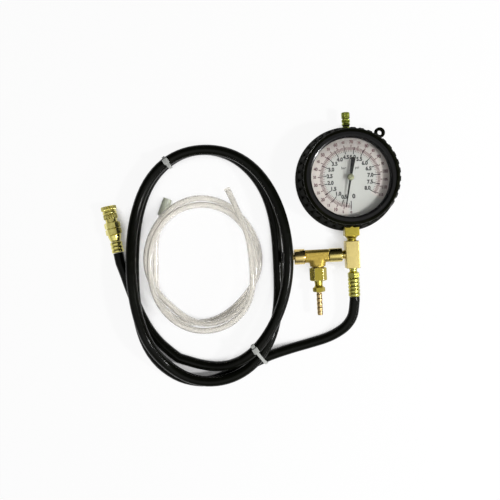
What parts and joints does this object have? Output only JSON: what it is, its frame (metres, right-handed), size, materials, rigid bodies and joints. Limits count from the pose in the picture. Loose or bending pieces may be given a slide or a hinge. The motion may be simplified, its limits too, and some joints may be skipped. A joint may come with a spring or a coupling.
{
  "type": "fuel pressure gauge",
  "caption": "Fuel pressure gauge in a rubber boot with a relief valve tee, test hose with a push-on coupler, and a clear drain tube.",
  "frame": {"origin": "centre of the boot's flat back face", "axes": "+Z out of the dial, +Y from the hose fittings through the dial to the vent screw, +X to the dial's right"},
  "size_m": [0.2958, 0.2621, 0.038],
  "materials": {
    "boot_rubber": "matt moulded",
    "black_steel": "semi-gloss black",
    "clear_lens": "clear polished",
    "white_dial": "matt off-white with printed scales",
    "black_plastic": "gloss",
    "pale_brass": "machined satin",
    "red_brass": "machined, darker",
    "steel": "bright",
    "seal_rubber": "matt",
    "hose_rubber": "semi-gloss",
    "nylon": "natural translucent nylon",
    "vinyl": "clear, slightly milky",
    "sleeve_vinyl": "frosted"
  },
  "bodies": {
    "base": {"rubber_boot": "boot_rubber", "case_shell": "black_steel", "bezel_ring": "black_steel", "lens": "clear_lens", "lens_gasket": "seal_rubber", "dial_plate": "white_dial", "dial_ring": "black_plastic", "stem_socket": "pale_brass", "tee_block": "pale_brass", "vent_bush": "pale_brass", "vent_seal": "seal_rubber", "movement_back_plate": "pale_brass", "movement_front_plate": "pale_brass", "movement_pillar_1": "pale_brass", "movement_pillar_2": "pale_brass", "movement_pillar_3": "pale_brass", "case_screw_1": "steel", "case_screw_2": "steel", "movement_screw_1": "steel", "movement_screw_2": "steel", "bourdon_tube": "red_brass", "tube_end": "pale_brass", "hairspring": "steel", "union_collar": "pale_brass", "forged_tee": "pale_brass", "relief_valve_body": "red_brass", "button_spring": "steel", "branch_nut": "pale_brass", "hose_barb": "pale_brass", "hose_nipple": "red_brass", "gauge_ferrule": "pale_brass", "hose_lead": "hose_rubber", "hose_coil": "hose_rubber", "hose_tail": "hose_rubber", "coupler_ferrule": "pale_brass", "hose_insert": "pale_brass", "upper_cable_tie": "nylon", "lower_cable_tie": "nylon", "drain_tube": "vinyl", "drain_sleeve": "sleeve_vinyl"},
    "sector": {"sector_gear": "pale_brass"},
    "link": {"movement_link": "pale_brass"},
    "pointer_train": {"pointer_shaft": "steel", "pointer_hub": "pale_brass", "pointer": "black_steel"},
    "button": {"relief_button": "black_plastic", "relief_poppet": "steel", "relief_seal": "seal_rubber"},
    "vent_screw": {"vent_cap": "pale_brass"},
    "coupler": {"coupler_barrel": "pale_brass", "locking_ball_1": "steel", "locking_ball_2": "steel", "locking_ball_3": "steel", "locking_ball_4": "steel", "coupler_seal": "seal_rubber"},
    "sleeve": {"coupler_sleeve": "pale_brass"}
  },
  "joints": [
    {"name": "sector_swing", "type": "hinge", "parent": "base", "child": "sector", "pos_m": [-0.01244, -0.01244, 0.0144], "axis": [0, 0, 1], "range_deg": [0, 30.4], "deforming": ["bourdon_tube", "tube_end"]},
    {"name": "link_swing", "type": "hinge", "parent": "sector", "child": "link", "pos_m": [-0.0174, -0.0174, 0.0155], "axis": [0, 0, 1], "range_deg": [-30.4, 0]},
    {"name": "pointer_turn", "type": "hinge", "parent": "base", "child": "pointer_train", "pos_m": [0, 0, 0.0264], "axis": [0, 0, -1], "range_deg": [0, 304], "deforming": ["hairspring"]},
    {"name": "relief_press", "type": "slide", "parent": "base", "child": "button", "axis": [1, 0, 0], "range_m": [0, 0.003], "stiffness_N_per_m": 300, "deforming": ["button_spring"]},
    {"name": "vent_turn", "type": "hinge", "parent": "base", "child": "vent_screw", "pos_m": [0, 0.0515, 0.015], "axis": [0, 1, 0], "range_deg": [0, 360]},
    {"name": "coupler_swivel", "type": "hinge", "parent": "base", "child": "coupler", "pos_m": [-0.23342, -0.03752, 0.0082], "axis": [-0.1633, 0.9866, 0], "continuous": true},
    {"name": "sleeve_draw", "type": "slide", "parent": "coupler", "child": "sleeve", "axis": [0.1633, -0.9866, 0], "range_m": [0, 0.003], "stiffness_N_per_m": 500}
  ],
  "couplings": [
    {"joint": "pointer_turn", "follows": "sector_swing", "ratio": 10},
    {"joint": "link_swing", "follows": "sector_swing", "ratio": -1}
  ]
}
